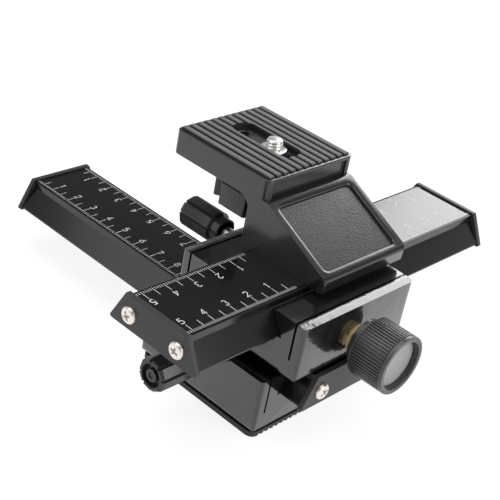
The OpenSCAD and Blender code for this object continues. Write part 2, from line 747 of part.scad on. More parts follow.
module screw_flange() color([0.8, 0.79, 0.76]) at_bracket()
    translate([0, screw_y, casting_z + slide_gap]) difference() {
        cylinder(h = flange_h, r = flange_r);
        translate([0, 0, -cut]) cylinder(h = flange_h + 2 * cut, r = neck_r + seat_gap);
    }

module wing_knob() color([0.12, 0.12, 0.125]) at_bracket() translate([0, screw_y, 0])
    difference() {
        union() {
            translate([0, 0, wing_low]) cylinder(h = wing_h, r = wing_r - 4);
            translate([0, 0, wing_low]) linear_extrude(wing_h) intersection() {
                for (i = [0 : wing_lobes - 1]) rotate([0, 0, i * 360 / wing_lobes])
                    translate([wing_r / 2, 0])
                        rounded_rect(wing_r, PI * wing_r * 1.5 / wing_lobes, 1.5);
                circle(wing_r);
            }
            translate([0, 0, wing_low + wing_h - 0.01])
                cylinder(h = hub_top - wing_low - wing_h, r = hub_r);
        }
        translate([0, 0, wing_low + 2 - seat_gap]) cylinder(h = platform_z, r = neck_r + seat_gap);
    }

// ---- Nodes built from the shared shapes --------------------------------------

// The lower rail also has the tapped holes that the upper carriage is held by
module lower_rail() color([0.06, 0.06, 0.065]) difference() {
    at_lower_rail() rail();
    mount_screw_places() translate([0, 0, -channel_z - m3_in_rail])
        cylinder(h = m3_in_rail + cut, r = m3_r + seat_gap);
}

// The upper rail also has the countersunk holes for the bracket's screws
module upper_rail() color([0.06, 0.06, 0.065]) difference() {
    at_upper_rail() rail();
    at_bracket() foot_screw_places() translate([0, 0, -rail_h]) {
        translate([0, 0, -cut]) cylinder(h = rail_h + 2 * cut, r = m4_r + seat_gap);
        mirror([0, 0, 1]) translate([0, 0, -m4_head_h])
            cylinder(h = m4_head_h + 0.01, r1 = m4_r + sink_gap, r2 = m4_head_r + sink_gap);
    }
}

module on_lower_pinion() at_lower_carriage() translate([0, 0, pinion_z]) children();
module on_upper_pinion() at_upper_carriage() translate([0, 0, pinion_z]) children();

lower_carriage();
base_pad();
tripod_bush();
color([0.75, 0.58, 0.3]) on_lower_pinion() shaft_bush();  // lower_shaft_bush
color([0.2, 0.2, 0.21]) on_lower_pinion() focus_knob();  // lower_focus_knob
color([0.35, 0.35, 0.36]) on_lower_pinion() knob_cap();  // lower_knob_cap
color([0.75, 0.73, 0.7]) on_lower_pinion() knob_screw();  // lower_knob_screw
color([0.7, 0.7, 0.7]) on_lower_pinion() pinion_shaft();  // lower_pinion_shaft
color([0.75, 0.58, 0.3]) on_lower_pinion() pinion(lower_shift);  // lower_pinion
color([0.12, 0.12, 0.125]) at_lower_carriage() lock_knob(lower_lock_gap);  // lower_lock_knob
color([0.75, 0.73, 0.7]) at_lower_carriage() lock_screw(lower_lock_gap);  // lower_lock_screw
lower_rail();
color([0.6, 0.6, 0.6]) at_lower_rail() rack();  // lower_rack
color([0.75, 0.73, 0.7]) at_lower_rail() rack_screws();  // lower_rack_screws
color([0.1, 0.1, 0.105]) at_lower_rail() end_plate(-1);  // lower_near_plate
color([0.1, 0.1, 0.105]) at_lower_rail() end_plate(1);  // lower_far_plate
color([0.8, 0.76, 0.72]) at_lower_rail() plate_screws();  // lower_plate_screws
upper_carriage();
upper_carriage_screws();
color([0.75, 0.58, 0.3]) on_upper_pinion() shaft_bush();  // upper_shaft_bush
color([0.2, 0.2, 0.21]) on_upper_pinion() focus_knob();  // upper_focus_knob
color([0.35, 0.35, 0.36]) on_upper_pinion() knob_cap();  // upper_knob_cap
color([0.75, 0.73, 0.7]) on_upper_pinion() knob_screw();  // upper_knob_screw
color([0.7, 0.7, 0.7]) on_upper_pinion() pinion_shaft();  // upper_pinion_shaft
color([0.75, 0.58, 0.3]) on_upper_pinion() pinion(upper_shift);  // upper_pinion
color([0.12, 0.12, 0.125]) at_upper_carriage() lock_knob(upper_lock_gap);  // upper_lock_knob
color([0.75, 0.73, 0.7]) at_upper_carriage() lock_screw(upper_lock_gap);  // upper_lock_screw
upper_rail();
color([0.6, 0.6, 0.6]) at_upper_rail() rack();  // upper_rack
color([0.75, 0.73, 0.7]) at_upper_rail() rack_screws();  // upper_rack_screws
color([0.1, 0.1, 0.105]) at_upper_rail() end_plate(-1);  // upper_left_plate
color([0.1, 0.1, 0.105]) at_upper_rail() end_plate(1);  // upper_right_plate
color([0.8, 0.76, 0.72]) at_upper_rail() plate_screws();  // upper_plate_screws
camera_bracket();
bracket_screws();
panel_inlay();
top_pad();
slot_washer();
camera_screw();
screw_flange();
wing_knob();
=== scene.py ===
import math

import bmesh
import bpy
from mathutils import Matrix, Vector


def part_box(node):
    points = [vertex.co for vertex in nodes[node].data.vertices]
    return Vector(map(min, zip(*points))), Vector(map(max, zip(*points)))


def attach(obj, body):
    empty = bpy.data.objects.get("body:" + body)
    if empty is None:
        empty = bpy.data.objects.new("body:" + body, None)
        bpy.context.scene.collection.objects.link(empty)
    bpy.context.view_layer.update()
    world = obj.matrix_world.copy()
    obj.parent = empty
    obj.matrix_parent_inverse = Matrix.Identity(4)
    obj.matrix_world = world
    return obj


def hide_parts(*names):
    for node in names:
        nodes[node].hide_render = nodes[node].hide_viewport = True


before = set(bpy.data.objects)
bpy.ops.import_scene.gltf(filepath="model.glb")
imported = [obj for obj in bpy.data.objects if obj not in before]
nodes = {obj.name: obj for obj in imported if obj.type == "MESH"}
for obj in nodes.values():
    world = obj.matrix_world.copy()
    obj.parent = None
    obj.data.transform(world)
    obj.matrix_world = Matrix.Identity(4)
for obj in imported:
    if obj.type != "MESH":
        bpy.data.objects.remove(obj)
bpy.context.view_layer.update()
toMetres = 0.001  # a millimetre in metres

# Plain shapes: each is (points, faces).
past = 1  # how far a cutting shape goes beyond what it cuts
clear = 40  # a height above every piece that is cut up to it
nearAxis = 0.02  # radius of a closed end on a lathe's axis


def arc(cx, cy, r, start, end, steps):
    return [(cx + r * math.cos(math.radians(start + (end - start) * i / steps)),
             cy + r * math.sin(math.radians(start + (end - start) * i / steps)))
            for i in range(steps + 1)]


def roundedRect(w, d, r, steps=6, cx=0, cy=0):
    outline = []
    for sx, sy, start in ((1, 1, 0), (-1, 1, 90), (-1, -1, 180), (1, -1, 270)):
        outline += arc(cx + sx * (w / 2 - r), cy + sy * (d / 2 - r), r, start, start + 90, steps)
    return outline


def lowRounded(w, h, r, steps=6):
    return (arc(w / 2 - r, r, r, -90, 0, steps) + [(w / 2, h + past), (-w / 2, h + past)]
            + arc(r - w / 2, r, r, 180, 270, steps))


def mirrored(half):
    return half + [(-x, z) for x, z in reversed(half)]


def prism(outline, low, high, along="z"):
    turn = {"z": lambda a, b, h: (a, b, h), "y": lambda a, b, h: (a, h, b),
            "x": lambda a, b, h: (h, a, b)}[along]
    count = len(outline)
    points = [turn(a, b, low) for a, b in outline] + [turn(a, b, high) for a, b in outline]
    faces = [tuple(range(count)), tuple(range(2 * count - 1, count - 1, -1))]
    faces += [(i, i + count, (i + 1) % count + count, (i + 1) % count) for i in range(count)]
    return points, faces


def block(low, high):
    (x0, y0, z0), (x1, y1, z1) = low, high
    return prism([(x0, y0), (x1, y0), (x1, y1), (x0, y1)], z0, z1)


def loft(rings):
    count = len(rings[0])
    points = [p for ring in rings for p in ring]
    last = (len(rings) - 1) * count
    faces = [tuple(range(count)), tuple(range(last + count - 1, last - 1, -1))]
    for k in range(len(rings) - 1):
        for i in range(count):
            j = (i + 1) % count
            faces.append((k * count + i, (k + 1) * count + i, (k + 1) * count + j, k * count + j))
    return points, faces


def lathe(profile, steps=64, wave=None):
    # profile is a list of (radius, height); wave changes a ring's radius round its angle
    rings = []
    for r, h, *rest in profile:
        ring = []
        for i in range(steps):
            a = 2 * math.pi * i / steps
            grown = r + (wave(a) * rest[0] if wave and rest else 0)
            ring.append((grown * math.cos(a), grown * math.sin(a), h))
        rings.append(ring)
    return loft(rings)


def rod(radius, low, high, steps=32):
    return lathe([(radius, low), (radius, high)], steps)


def ringFaces(profile, steps, wave=None):
    # the profile's ends are joined, so the ring is open in the middle
    points, faces = lathe(profile, steps, wave)
    last = (len(profile) - 1) * steps
    return points, faces[2:] + [(i, (i + 1) % steps, last + (i + 1) % steps, last + i)
                                for i in range(steps)]


def put(shape, place):
    return [tuple(place @ Vector(p)) for p in shape[0]], shape[1]


def together(*shapes):
    points, faces = [], []
    for morePoints, moreFaces in shapes:
        start = len(points)
        points += morePoints
        faces += [tuple(i + start for i in face) for face in moreFaces]
    return points, faces


def shifted(x=0, y=0, z=0):
    return Matrix.Translation((x, y, z))


def turned(angle, axis="Z"):
    return Matrix.Rotation(math.radians(angle), 4, axis)


alongX = turned(90, "Y")
towardsMinusX = turned(-90, "Y")

# Frames of the carriages, rails and bracket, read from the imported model.


def boxOf(node):
    low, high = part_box(node)
    return [v / toMetres for v in low], [v / toMetres for v in high]


def middleOf(node, axis):
    low, high = boxOf(node)
    return (low[axis] + high[axis]) / 2


def standing(node, turn=0):
    return shifted(middleOf(node, 0), middleOf(node, 1), boxOf(node)[0][2]) @ turned(turn)


lowerBlock = standing("lower_carriage")
upperBlock = standing("upper_carriage", -90)
lowerWay = standing("lower_rail")
upperWay = standing("upper_rail", -90)
bracketFoot = shifted(middleOf("camera_bracket", 0), middleOf("upper_rail", 1),
                      boxOf("camera_bracket")[0][2])

# Objects made from the shapes.


def solid(shape):
    mesh = bpy.data.meshes.new("work")
    mesh.from_pydata(shape[0], [], shape[1])
    shell = bmesh.new()
    shell.from_mesh(mesh)
    bmesh.ops.remove_doubles(shell, verts=shell.verts, dist=0.0005)
    bmesh.ops.recalc_face_normals(shell, faces=shell.faces)
    shell.to_mesh(mesh)
    shell.free()
    work = bpy.data.objects.new("work", mesh)
    bpy.context.scene.collection.objects.link(work)
    return work


def ringShape(profile, steps=64):
    return solid(ringFaces(profile, steps))


def shapeOf(work):
    shape = ([tuple(v.co) for v in work.data.vertices],
             [tuple(p.vertices) for p in work.data.polygons])
    bpy.data.objects.remove(work)
    return shape


def bevelled(work, width, steps=3, sharp=34):
    bevel = work.modifiers.new("edges", "BEVEL")
    bevel.width = width
    bevel.segments = steps
    bevel.limit_method = "ANGLE"
    bevel.angle_limit = math.radians(sharp)
    return bevel


def applied(work):
    bpy.context.view_layer.update()
    fresh = bpy.data.meshes.new_from_object(
        work.evaluated_get(bpy.context.evaluated_depsgraph_get()))
    work.modifiers.clear()
    work.data = fresh


def carve(work, shape, way="DIFFERENCE"):
    tool = solid(shape)
    cutter = work.modifiers.new("carve", "BOOLEAN")
    cutter.operation = way
    cutter.solver = "EXACT"
    cutter.object = tool
    applied(work)
    bpy.data.objects.remove(tool)


def joined(work, gap=0.02):
    # closes the hairline cracks that cuts can leave
    shell = bmesh.new()
    shell.from_mesh(work.data)
    bmesh.ops.remove_doubles(shell, verts=shell.verts, dist=gap)
    bmesh.ops.dissolve_degenerate(shell, edges=shell.edges, dist=gap)
    cracks = [edge for edge in shell.edges if edge.is_boundary]
    bmesh.ops.holes_fill(shell, edges=cracks, sides=0)
    shell.to_mesh(work.data)
    shell.free()
    return work


def piece(name, work, place, body, material, replaced=(), edge=0, steps=2,
          sharp=34, even=False):
    mesh = work.data
    mesh.transform(Matrix.Scale(toMetres, 4) @ place)
    mesh.materials.clear()
    mesh.materials.append(material)
    mesh.polygons.foreach_set("use_smooth", [True] * len(mesh.polygons))
    work.name = name
    mesh.name = name
    if edge:
        bevelled(work, edge * toMetres, steps, sharp).harden_normals = True
    else:
        mesh.set_sharp_from_angle(angle=math.radians(sharp))
    if even:
        flats = work.modifiers.new("evenShading", "WEIGHTED_NORMAL")
        flats.keep_sharp = True
    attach(work, body)
    if replaced:
        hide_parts(*replaced)


# Finishes.
texture = dict(cloudDetail=3.0, grainDetail=4.0, grainRough=0.6, cellWeight=1.4, leastRough=0.02,
               waveScale=260.0, waveDetail=2.0)


def finish(name, colour, rough, metal=0.0, coat=0.0, coatRough=0.05, cloud=60, spread=0.15,
           grain=900, bump=0.05, depth=0.00002, roughSpread=0.04, stretch=(1, 1, 1),
           specular=0.5, cells=0, coatIor=1.5, low=None, paintedShadeHeights=(0, 1), uneven=0):
    material = bpy.data.materials.new(name)
    material.use_nodes = True
    tree = material.node_tree
    shader = tree.nodes["Principled BSDF"]
    shader.inputs["Metallic"].default_value = metal
    shader.inputs["Coat Weight"].default_value = coat
    shader.inputs["Coat Roughness"].default_value = coatRough
    shader.inputs["Specular IOR Level"].default_value = specular
    shader.inputs["Coat IOR"].default_value = coatIor

    def add(kind, **settings):
        node = tree.nodes.new(kind)
        for key, value in settings.items():
            if key in node.inputs:
                node.inputs[key].default_value = value
            else:
                setattr(node, key, value)
        return node

    coordinates = add("ShaderNodeTexCoord")
    mapping = add("ShaderNodeMapping", Scale=stretch)
    tree.links.new(coordinates.outputs["Object"], mapping.inputs["Vector"])
    clouds = add("ShaderNodeTexNoise", Scale=cloud, Detail=texture["cloudDetail"])
    grains = add("ShaderNodeTexNoise", Scale=grain, Detail=texture["grainDetail"],
                 Roughness=texture["grainRough"])
    mix = add("ShaderNodeMix", data_type="RGBA")
    mix.inputs["A"].default_value = tuple(c * (1 - spread) for c in colour) + (1,)
    mix.inputs["B"].default_value = tuple(min(1, c * (1 + spread)) for c in colour) + (1,)
    shades = add("ShaderNodeMapRange")
    shades.inputs["To Min"].default_value = max(texture["leastRough"], rough - roughSpread)
    shades.inputs["To Max"].default_value = rough + roughSpread
    relief = add("ShaderNodeBump", Strength=bump, Distance=depth)
    for noise in (clouds, grains):
        tree.links.new(mapping.outputs["Vector"], noise.inputs["Vector"])
    height = grains.outputs["Fac"]
    if cells:
        pebbles = add("ShaderNodeTexVoronoi", Scale=cells, feature="SMOOTH_F1")
        tree.links.new(mapping.outputs["Vector"], pebbles.inputs["Vector"])
        blend = add("ShaderNodeMath", operation="MULTIPLY_ADD")
        tree.links.new(pebbles.outputs["Distance"], blend.inputs[0])
        blend.inputs[1].default_value = texture["cellWeight"]
        tree.links.new(grains.outputs["Fac"], blend.inputs[2])
        height = blend.outputs[0]
    tree.links.new(clouds.outputs["Fac"], mix.inputs["Factor"])
    shade = mix.outputs["Result"]
    # painted shade: below the rib tops the colour turns to the dark low colour, standing in for
    # the shade in the grooves
    if low:  # darker below the rib tops; paintedShadeHeights is the height in metres where it changes
        heights = add("ShaderNodeSeparateXYZ")
        tree.links.new(coordinates.outputs["Object"], heights.inputs["Vector"])
        climb = add("ShaderNodeMapRange")
        climb.inputs["From Min"].default_value, climb.inputs["From Max"].default_value = paintedShadeHeights
        tree.links.new(heights.outputs["Z"], climb.inputs["Value"])
        grooveShadeMix = add("ShaderNodeMix", data_type="RGBA")
        grooveShadeMix.inputs["A"].default_value = low + (1,)
        tree.links.new(climb.outputs["Result"], grooveShadeMix.inputs["Factor"])
        tree.links.new(shade, grooveShadeMix.inputs["B"])
        shade = grooveShadeMix.outputs["Result"]
    tree.links.new(shade, shader.inputs["Base Color"])
    tree.links.new(grains.outputs["Fac"], shades.inputs["Value"])
    tree.links.new(shades.outputs["Result"], shader.inputs["Roughness"])
    tree.links.new(height, relief.inputs["Height"])
    tree.links.new(relief.outputs["Normal"], shader.inputs["Normal"])
    if uneven:  # thick paint: broad waves below the fine grain
        waves = add("ShaderNodeTexNoise", Scale=texture["waveScale"],
                    Detail=texture["waveDetail"])
        swell = add("ShaderNodeBump", Strength=1.0, Distance=uneven)
        tree.links.new(mapping.outputs["Vector"], waves.inputs["Vector"])
        tree.links.new(waves.outputs["Fac"], swell.inputs["Height"])
        tree.links.new(swell.outputs["Normal"], relief.inputs["Normal"])
    if uneven or cells:
        tree.links.new(relief.outputs["Normal"], shader.inputs["Coat Normal"])
    return material


looks = {
    "cast": finish("glossBlackCasting", (0.012, 0.012, 0.013), 0.24, coat=1.0, coatRough=0.07,
                   bump=0.1, grain=900, depth=0.00003, coatIor=1.6, specular=0.25,
                   uneven=0.00009),
    "bracket": finish("glossBlackBracket", (0.012, 0.012, 0.013), 0.34, coat=1.0,
                      coatRough=0.16, bump=0.12, grain=1300, depth=0.00003, specular=0.22,
                      uneven=0.00004),
    "rail": finish("blackRail", (0.006, 0.006, 0.007), 0.2, coat=0.31, coatRough=0.09,
                   specular=0.42, bump=0.01, grain=700, roughSpread=0.01),
    "plate": finish("satinPlate", (0.05, 0.048, 0.048), 0.36, bump=0.08, grain=1200,
                    specular=0.3),
    "panel": finish("grainedPanel", (0.014, 0.014, 0.015), 0.36, bump=0.32, grain=1500,
                    depth=0.0001, cells=1700, coat=0.8, coatRough=0.24),
    # the pad's low colour is painted shade in the grooves between its ribs
    "pad": finish("ribbedPad", (0.15, 0.15, 0.152), 0.6, bump=0.2, grain=2600, depth=0.00003,
                  low=(0.008, 0.008, 0.009), paintedShadeHeights=(0.08173, 0.08235)),
    "basePad": finish("basePad", (0.03, 0.03, 0.031), 0.6, bump=0.2, grain=2600,
                      depth=0.00003),
    "knob": finish("knobPlastic", (0.066, 0.066, 0.068), 0.27, bump=0.1, grain=2000),
    "cap": finish("capPlastic", (0.37, 0.37, 0.373), 0.42, bump=0.1, grain=2400),
    "lock": finish("lockPlastic", (0.035, 0.035, 0.036), 0.3, bump=0.08, grain=1600, coat=0.12,
                   coatRough=0.18, specular=0.4),
    "nickel": finish("nickel", (0.84, 0.79, 0.75), 0.38, metal=1.0, bump=0.05, grain=1500,
                     spread=0.1),
    "screw": finish("platedScrew", (0.86, 0.85, 0.83), 0.36, metal=1.0, bump=0.05, grain=1500,
                    spread=0.06),
    "steel": finish("turnedSteel", (0.56, 0.55, 0.54), 0.3, metal=1.0, bump=0.08, grain=900,
                    stretch=(1, 1, 6)),
    "brass": finish("turnedBrass", (0.9, 0.7, 0.4), 0.42, metal=1.0, bump=0.04, grain=900,
                    spread=0.1, cloud=300),
    "mark": finish("scaleWhite", (0.8, 0.8, 0.78), 0.6, bump=0.02, grain=3000, spread=0.04,
                   specular=0.2),
}
print("finishes made")

# Carriages.

carriage = dict(half=29.5, height=23, lowRound=3, corner=1.5, floorZ=14.6, floorHalf=19.8,
                toeZ=15.6, relief=((0.6, -0.3), (-0.3, -0.7), (-1, 0)), neckHalf=14.98,
                neckZ=21.8, mouthHalf=15.25, slit=25.3, slitWidth=0.9, slitFloor=8.3, crown=27.0,
                slope=0.42, edge=0.3, roomX=7.2, roomLength=5.6, roomRadius=6.95, roomHalf=6.9,
                bushX=11, bushLength=25, bushRadius=3.83, boreX=2, boreLength=8,
                boreRadius=2.6, lockBoreLength=6)
pinionZ = 9.7
lockZ = 17.15


def carriageShape():
    c = carriage
    inner, outer = c["slit"] - c["slitWidth"] / 2, c["slit"] + c["slitWidth"] / 2
    half = arc(c["half"] - c["lowRound"], c["lowRound"], c["lowRound"], -90, 0, 6)
    half += [(c["half"], c["height"] - c["slope"]), (c["crown"], c["height"]),
             (outer, c["height"]), (outer, c["slitFloor"]), (inner, c["slitFloor"]),
             (inner, c["height"]), (c["mouthHalf"], c["height"]), (c["neckHalf"], c["neckZ"]),
             (c["floorHalf"], c["toeZ"])]
    half += [(c["floorHalf"] + x, c["floorZ"] + z) for x, z in c["relief"]]
    work = solid(prism(mirrored(half), -c["half"], c["half"], "y"))
    carve(work, prism(lowRounded(2 * c["half"], c["height"], c["lowRound"]),
                      -c["half"] - past, c["half"] + past, "x"), "INTERSECT")
    carve(work, prism(roundedRect(2 * c["half"], 2 * c["half"], c["corner"]), -past,
                      c["height"] + past), "INTERSECT")
    # the pinion's room, open to the rail, then the bores for bush, shaft end and lock screw
    carve(work, put(rod(c["roomRadius"], 0, c["roomLength"], 48),
                    shifted(c["roomX"], 0, pinionZ) @ alongX))
    carve(work, block((c["roomX"], -c["roomHalf"], pinionZ),
                      (c["roomX"] + c["roomLength"], c["roomHalf"], c["floorZ"] + 0.2)))
    carve(work, put(rod(c["bushRadius"], 0, c["bushLength"], 40),
                    shifted(c["bushX"], 0, pinionZ) @ alongX))
    carve(work, put(rod(c["boreRadius"], 0, c["boreLength"]),
                    shifted(c["boreX"], 0, pinionZ) @ alongX))
    carve(work, put(rod(c["boreRadius"], 0, c["lockBoreLength"]),
                    shifted(-c["slit"], 0, lockZ) @ towardsMinusX))
    return work


piece("lowerBlock", carriageShape(), lowerBlock, "base", looks["cast"], ["lower_carriage"],
      carriage["edge"])
piece("upperBlock", carriageShape(), upperBlock, "lower_slider", looks["cast"],
      ["upper_carriage"], carriage["edge"])
print("carriages made")

# Rails, end plates and scales.

rail = dict(half=78, topHalf=13.85, footHalf=19.7, height=11, lip=2.7, toe=0.8, round=0.3,
            lineInner=12.95, lineOuter=13.38, lineDeep=0.4, footRound=0.2, grooveX=10,
            grooveHalf=2.52, grooveEnd=65.02, grooveDeep=3.22,
            screwSeat=((4.9, -1), (3.82, 0), (2.05, 2.1), (2.05, 12)))
bracketScrews = dict(x=13, y=(-2.5, 8.5))


def railShape(screwHoles=()):
    r = rail
    half = [(r["footHalf"] - r["footRound"], 0), (r["footHalf"], r["footRound"]),
            (r["footHalf"], r["toe"]), (r["topHalf"], r["height"] - r["lip"])]
    half += arc(r["topHalf"] - r["round"], r["height"] - r["round"], r["round"], 0, 90, 5)
    floor = r["height"] - r["lineDeep"]  # the cut line that runs beside the scale
    half += [(r["lineOuter"], r["height"]), (r["lineOuter"], floor), (r["lineInner"], floor),
             (r["lineInner"], r["height"])]
    work = solid(prism(mirrored(half), -r["half"], r["half"], "y"))
    carve(work, block((r["grooveX"] - r["grooveHalf"], -r["grooveEnd"], -past),
                      (r["grooveX"] + r["grooveHalf"], r["grooveEnd"], r["grooveDeep"])))
    for x, y in screwHoles:
        carve(work, put(lathe(r["screwSeat"], 32), shifted(x, y, 0)))
    return work


bracketHoles = [(-y, x) for x in (-bracketScrews["x"], bracketScrews["x"])
                for y in bracketScrews["y"]]
piece("lowerRail", railShape(), lowerWay, "lower_slider", looks["rail"], ["lower_rail"],
      sharp=30, even=True)
piece("upperRail", railShape(bracketHoles), upperWay, "upper_slider", looks["rail"],
      ["upper_rail"], sharp=30, even=True)

endPlate = dict(thick=2, foot=20.6, low=-0.9, top=14.65, high=11.8, nip=0.9, nipRun=1.3,
                corner=0.35, cornerRise=0.25, edge=0.3)


def endPlateShape(side):
    p = endPlate
    half = [(p["foot"] - p["nipRun"] * p["nip"], p["low"]),
            (p["foot"] - p["corner"], p["low"] + p["cornerRise"]),
            (p["foot"], p["low"] + p["nip"]), (p["top"], p["high"] - p["corner"]),
            (p["top"] - p["corner"], p["high"])]
    start = rail["half"] * side
    ends = sorted((start, start + side * p["thick"]))
    return solid(prism(mirrored(half), ends[0], ends[1], "y"))


for name, place, body, side, node in (
        ("lowerNearPlate", lowerWay, "lower_slider", -1, "lower_near_plate"),
        ("lowerFarPlate", lowerWay, "lower_slider", 1, "lower_far_plate"),
        ("upperLeftPlate", upperWay, "upper_slider", -1, "upper_left_plate"),
        ("upperRightPlate", upperWay, "upper_slider", 1, "upper_right_plate")):
    piece(name, endPlateShape(side), place, body, looks["plate"], [node],
          endPlate["edge"])

panHead = dict(radius=3.1, height=1.6, x=11.3, z=4.8, rim=0.35, sidePower=0.45, topPower=1.1,
               slotHalf=2.4, slotWidth=1.1, slotFloor=0.35, slotTop=2.5, endTaper=0.35,
               sideTaper=0.6, shankRadius=1.45, shankLength=9)


def panScrew():
    s = panHead
    profile = [(nearAxis, 0), (s["radius"], 0), (s["radius"], s["rim"])]
    profile += [(s["radius"] * math.cos(math.radians(a)) ** s["sidePower"],
                 s["rim"] + (s["height"] - s["rim"]) * math.sin(math.radians(a)) ** s["topPower"])
                for a in range(10, 90, 8)]
    profile.append((nearAxis, s["height"]))
    head = solid(lathe(profile, 40))
    corners = [(x * s["slotHalf"], y * s["slotWidth"] / 2)
               for x, y in ((-1, -1), (1, -1), (1, 1), (-1, 1))]
    slot = loft([[(x, y, s["slotTop"]) for x, y in corners],
                 [(x * s["endTaper"], y * s["sideTaper"], s["slotFloor"]) for x, y in corners]])
    for a in (0, 90):
        carve(head, put(slot, turned(a)))
    return shapeOf(head)


screwHead = panScrew()
shank = rod(panHead["shankRadius"], -panHead["shankLength"], 0.05, 20)


def plateScrews():
    shapes = []
    for x in (-1, 1):
        for y in (-1, 1):
            place = shifted(x * panHead["x"], y * (rail["half"] + endPlate["thick"]),
                            panHead["z"]) @ turned(-90 * y, "X") @ turned(24 * x + 40 * y)
            shapes += [put(screwHead, place), put(shank, place)]
    return solid(together(*shapes))


piece("lowerPlateScrews", plateScrews(), lowerWay, "lower_slider", looks["nickel"],
      ["lower_plate_screws"], sharp=30)
piece("upperPlateScrews", plateScrews(), upperWay, "upper_slider", looks["nickel"],
      ["upper_plate_screws"], sharp=30)

scale = dict(outer=12.9, short=11.6, long=8.5, width=0.21, digitX=6.4, high=0.03, sunk=0.02,
             endGap=0.3, upperZero=25.2, lowerZero=79.5, penHalf=0.17, mitre=0.45,
             digitMiddle=(0.92, 1.4))

strokes = {  # engraved figures as pen strokes, in a box 1.8 wide and 2.8 high
    1: [[(0.45, 2.25), (1.0, 2.8), (1.0, 0)]],
    2: [arc(0.92, 2.0, 0.8, 165, -38, 8) + [(0.12, 0), (1.8, 0)]],
    3: [arc(0.85, 2.1, 0.7, 150, -88, 8), arc(0.87, 0.74, 0.77, 88, -150, 9)],
    4: [[(1.35, 0), (1.35, 2.8), (0.1, 0.8)], [(0.1, 0.8), (1.85, 0.8)]],
    5: [[(1.65, 2.8), (0.45, 2.8), (0.3, 1.55)] + arc(0.88, 0.88, 0.88, 125, -145, 9)],
    6: [[(1.4, 2.8), (0.8, 2.1), (0.19, 1.23)] + arc(0.9, 0.82, 0.82, 150, 345, 8),
        arc(0.9, 0.82, 0.82, 150, -15, 7)],
    7: [[(0.1, 2.8), (1.75, 2.8), (0.7, 0)]],
    8: [arc(0.9, 2.12, 0.66, 90, 270, 7), arc(0.9, 2.12, 0.66, 90, -90, 7),
        arc(0.9, 0.72, 0.76, 90, 270, 8), arc(0.9, 0.72, 0.76, 90, -90, 8)],
}
strokes[9] = [[(1.8 - x, 2.8 - y) for x, y in line] for line in strokes[6]]


def ribbon(line, half, low, high):
    left, right = [], []
    for i, (x, y) in enumerate(line):
        before = Vector(line[i]) - Vector(line[max(0, i - 1)])
        after = Vector(line[min(len(line) - 1, i + 1)]) - Vector(line[i])
        way = (before.normalized() + after.normalized()).normalized()
        bend = max(scale["mitre"], way.dot((after if after.length else before).normalized()))
        left.append((x - way.y * half / bend, y + way.x * half / bend))
        right.append((x + way.y * half / bend, y - way.x * half / bend))
    return prism(left + right[::-1], low, high)


def digitShape(number):
    s = scale
    middleX, middleY = s["digitMiddle"]
    lines = [[(x - middleX, y - middleY) for x, y in line] for line in strokes[number]]
    return together(*[ribbon(line, s["penHalf"], -s["high"] / 2, s["high"] / 2)
                      for line in lines])


digits = {k: digitShape(k) for k in strokes}


def scaleRow(marks, side):
    s = scale
    top = rail["height"]
    shapes = []
    for y, number in marks:
        inner = s["short"] if number % 5 else s["long"]
        xs = sorted((side * inner, side * s["outer"]))
        shapes.append(block((xs[0], y - s["width"] / 2, top - s["sunk"]),
                            (xs[1], y + s["width"] / 2, top + s["high"])))
        if number % 10 == 0 and number:
            digit = number // 10
            shapes.append(put(digits[digit], shifted(side * s["digitX"], y, top + s["high"] / 2)
                              @ turned(90 * side)))
    return shapes


upperMarks = [(way * (scale["upperZero"] + k), k) for way in (1, -1) for k in range(2, 53)]
lowerMarks = [(scale["lowerZero"] - k, k) for k in range(2, 98)]
for name, marks, place, body in (("upperScale", upperMarks, upperWay, "upper_slider"),
                                 ("lowerScale", lowerMarks, lowerWay, "lower_slider")):
    marks = [(y, k) for y, k in marks if abs(y) < rail["half"] - scale["endGap"]]
    piece(name, solid(together(*scaleRow(marks, 1), *scaleRow(marks, -1))), place, body,
          looks["mark"], sharp=30)
print("rails made")

# Focusing knobs.

focusKnob = dict(start=35.55, length=15, radius=11.25, ribs=60, ribDepth=0.6, rim=1.7,
                 recessRadius=9.2, recess=3.6, collar=6.2, collarLength=2.6, bore=2.6,
                 stepsPerRib=8, grooveHalf=0.14, grooveSide=0.12)


def ribWave(angle):
    # 0 on a rib's crest, -1 in the groove, with short slopes
    k = focusKnob
    off = abs((angle * k["ribs"] / (2 * math.pi)) % 1 - 0.5)
    return -max(0.0, min(1.0, 1 - (off - k["grooveHalf"]) / k["grooveSide"]))


def focusKnobShape():
    k = focusKnob
    r, d, front = k["radius"], k["ribDepth"], k["length"]
    ribEnd = front - k["rim"]
    profile = [(k["bore"], -k["collarLength"]), (k["collar"] - 0.5, -k["collarLength"]),
               (k["collar"], -k["collarLength"] + 0.4), (k["collar"], -0.6),
               (k["collar"] + 0.5, 0), (r - 0.9, 0), (r - 0.35, 0.18), (r - 0.1, 0.6),
               (r - 0.12, 0.85, 0), (r, 1.05, d), (r, ribEnd - 0.25, d), (r - 0.1, ribEnd, 0),
               (r - 0.32, ribEnd + 0.12), (r - 0.32, ribEnd + 0.3), (r, ribEnd + 0.45),
               (r, front - 0.45), (r - 0.12, front - 0.18), (r - 0.4, front),
               (k["recessRadius"] + 0.4, front), (k["recessRadius"] + 0.1, front - 0.12),
               (k["recessRadius"], front - 0.4), (k["recessRadius"], front - k["recess"]),
               (k["bore"], front - k["recess"])]
    return solid(ringFaces(profile, k["ribs"] * k["stepsPerRib"], ribWave))


cap = dict(radius=9.15, low=11.42, thick=1.2, dish=0.25, flatRadius=5)


def capShape():
    c = cap
    top = c["low"] + c["thick"]
    return solid(lathe([(nearAxis, c["low"]), (c["radius"], c["low"]), (c["radius"], top - 0.3),
                        (c["radius"] - 0.08, top - 0.1), (c["radius"] - 0.3, top),
                        (c["radius"] - 0.9, top), (c["radius"] - 1.2, top - c["dish"] * 0.6),
                        (c["flatRadius"], top - c["dish"]), (nearAxis, top - c["dish"])], 72))
